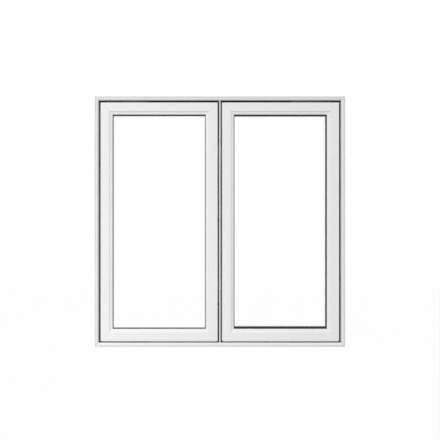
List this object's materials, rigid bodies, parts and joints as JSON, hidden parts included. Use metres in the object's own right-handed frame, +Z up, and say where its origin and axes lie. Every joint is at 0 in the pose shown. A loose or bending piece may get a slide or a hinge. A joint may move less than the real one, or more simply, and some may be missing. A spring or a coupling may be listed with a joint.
{
  "type": "casement window",
  "caption": "Square white vinyl twin casement window, its outward-opening sashes hung at the jambs on concealed hinges, with crank operators and lever locks on a slim centre mullion.",
  "frame": {"origin": "middle of the sill's underside, halfway through the window's depth", "axes": "+Z up, +X to the right seen from outdoors, -Y outdoors, +Y into the room"},
  "size_m": [1.2192, 0.1482, 1.2192],
  "materials": {
    "white_vinyl": "satin extruded vinyl",
    "clear_glass": "clear float glass",
    "dark_spacer": "dark warm-edge spacer",
    "stainless_steel": "brushed stainless steel",
    "black_nylon": "moulded black nylon",
    "zinc_plate": "zinc plated steel",
    "white_casting": "white painted die casting"
  },
  "bodies": {
    "frame": {"sill": "white_vinyl", "head": "white_vinyl", "left_jamb": "white_vinyl", "right_jamb": "white_vinyl", "center_mullion": "white_vinyl", "left_lower_hinge_track": "stainless_steel", "left_upper_hinge_track": "stainless_steel", "left_operator_housing": "white_casting", "left_lock_housing": "white_casting", "right_lower_hinge_track": "stainless_steel", "right_upper_hinge_track": "stainless_steel", "right_operator_housing": "white_casting", "right_lock_housing": "white_casting"},
    "left_support_arms": {"left_lower_support_arm": "stainless_steel", "left_upper_support_arm": "stainless_steel"},
    "left_sash": {"left_hinge_stile": "white_vinyl", "left_lock_stile": "white_vinyl", "left_top_rail": "white_vinyl", "left_bottom_rail": "white_vinyl", "left_outer_pane": "clear_glass", "left_inner_pane": "clear_glass", "left_spacer": "dark_spacer", "left_glazing_bead": "white_vinyl", "left_lower_sash_arm": "stainless_steel", "left_upper_sash_arm": "stainless_steel", "left_sash_bracket": "zinc_plate", "left_lower_keeper": "zinc_plate", "left_upper_keeper": "zinc_plate"},
    "left_shoes": {"left_lower_shoe": "black_nylon", "left_upper_shoe": "black_nylon"},
    "left_drive_arm": {"left_drive_arm": "stainless_steel"},
    "left_link": {"left_link_arm": "stainless_steel"},
    "left_crank": {"left_worm_shaft": "stainless_steel", "left_crank_handle": "white_casting"},
    "left_lock_lever": {"left_lock_lever": "white_casting"},
    "left_tie_bar": {"left_tie_bar": "stainless_steel"},
    "right_support_arms": {"right_lower_support_arm": "stainless_steel", "right_upper_support_arm": "stainless_steel"},
    "right_sash": {"right_hinge_stile": "white_vinyl", "right_lock_stile": "white_vinyl", "right_top_rail": "white_vinyl", "right_bottom_rail": "white_vinyl", "right_outer_pane": "clear_glass", "right_inner_pane": "clear_glass", "right_spacer": "dark_spacer", "right_glazing_bead": "white_vinyl", "right_lower_sash_arm": "stainless_steel", "right_upper_sash_arm": "stainless_steel", "right_sash_bracket": "zinc_plate", "right_lower_keeper": "zinc_plate", "right_upper_keeper": "zinc_plate"},
    "right_shoes": {"right_lower_shoe": "black_nylon", "right_upper_shoe": "black_nylon"},
    "right_drive_arm": {"right_drive_arm": "stainless_steel"},
    "right_link": {"right_link_arm": "stainless_steel"},
    "right_crank": {"right_worm_shaft": "stainless_steel", "right_crank_handle": "white_casting"},
    "right_lock_lever": {"right_lock_lever": "white_casting"},
    "right_tie_bar": {"right_tie_bar": "stainless_steel"}
  },
  "joints": [
    {"name": "left_open", "type": "hinge", "parent": "frame", "child": "left_support_arms", "pos_m": [-0.3616, -0.0113, 0.0229], "axis": [0, 0, 1], "range_deg": [0, 80]},
    {"name": "left_sash_turn", "type": "hinge", "parent": "left_support_arms", "child": "left_sash", "pos_m": [-0.4666, -0.0113, 0.0229], "axis": [0, 0, 1], "range_deg": [-160, 0]},
    {"name": "left_shoe_turn", "type": "hinge", "parent": "left_sash", "child": "left_shoes", "pos_m": [-0.5716, -0.0113, 0.0229], "axis": [0, 0, 1], "range_deg": [0, 80]},
    {"name": "left_drive_arm_turn", "type": "hinge", "parent": "frame", "child": "left_drive_arm", "pos_m": [-0.3046, 0.0247, 0.0259], "axis": [0, 0, 1], "range_deg": [0, 60]},
    {"name": "left_link_turn", "type": "hinge", "parent": "left_drive_arm", "child": "left_link", "pos_m": [-0.45879, 0.00166, 0.0289], "axis": [0, 0, 1], "range_deg": [-140.8, 0]},
    {"name": "left_crank_turn", "type": "hinge", "parent": "frame", "child": "left_crank", "pos_m": [-0.289, 0.0247, 0.02985], "axis": [0, 0.5736, 0.8192], "range_deg": [0, 2880]},
    {"name": "left_lock", "type": "hinge", "parent": "frame", "child": "left_lock_lever", "pos_m": [-0.0115, 0.0467, 0.43], "axis": [-1, 0, 0], "range_deg": [0, 140]},
    {"name": "left_tie_bar_slide", "type": "slide", "parent": "frame", "child": "left_tie_bar", "axis": [0, 0, 1], "range_m": [0, 0.022]},
    {"name": "right_open", "type": "hinge", "parent": "frame", "child": "right_support_arms", "pos_m": [0.3616, -0.0113, 0.0229], "axis": [0, 0, -1], "range_deg": [0, 80]},
    {"name": "right_sash_turn", "type": "hinge", "parent": "right_support_arms", "child": "right_sash", "pos_m": [0.4666, -0.0113, 0.0229], "axis": [0, 0, -1], "range_deg": [-160, 0]},
    {"name": "right_shoe_turn", "type": "hinge", "parent": "right_sash", "child": "right_shoes", "pos_m": [0.5716, -0.0113, 0.0229], "axis": [0, 0, -1], "range_deg": [0, 80]},
    {"name": "right_drive_arm_turn", "type": "hinge", "parent": "frame", "child": "right_drive_arm", "pos_m": [0.3046, 0.0247, 0.0259], "axis": [0, 0, -1], "range_deg": [0, 60]},
    {"name": "right_link_turn", "type": "hinge", "parent": "right_drive_arm", "child": "right_link", "pos_m": [0.45879, 0.00166, 0.0289], "axis": [0, 0, -1], "range_deg": [-140.8, 0]},
    {"name": "right_crank_turn", "type": "hinge", "parent": "frame", "child": "right_crank", "pos_m": [0.289, 0.0247, 0.02985], "axis": [0, -0.5736, -0.8192], "range_deg": [0, 2880]},
    {"name": "right_lock", "type": "hinge", "parent": "frame", "child": "right_lock_lever", "pos_m": [0.0115, 0.0467, 0.43], "axis": [-1, 0, 0], "range_deg": [0, 140]},
    {"name": "right_tie_bar_slide", "type": "slide", "parent": "frame", "child": "right_tie_bar", "axis": [0, 0, 1], "range_m": [0, 0.022]}
  ],
  "couplings": [
    {"joint": "left_sash_turn", "follows": "left_open", "ratio": -2},
    {"joint": "left_shoe_turn", "follows": "left_open", "ratio": 1},
    {"joint": "left_drive_arm_turn", "follows": "left_open", "ratio": 0.75},
    {"joint": "left_link_turn", "follows": "left_open", "ratio": -1.76},
    {"joint": "left_crank_turn", "follows": "left_open", "ratio": 36},
    {"joint": "left_tie_bar_slide", "follows": "left_lock", "m_per_rad": 0.0090036},
    {"joint": "right_sash_turn", "follows": "right_open", "ratio": -2},
    {"joint": "right_shoe_turn", "follows": "right_open", "ratio": 1},
    {"joint": "right_drive_arm_turn", "follows": "right_open", "ratio": 0.75},
    {"joint": "right_link_turn", "follows": "right_open", "ratio": -1.76},
    {"joint": "right_crank_turn", "follows": "right_open", "ratio": 36},
    {"joint": "right_tie_bar_slide", "follows": "right_lock", "m_per_rad": 0.0090036}
  ]
}
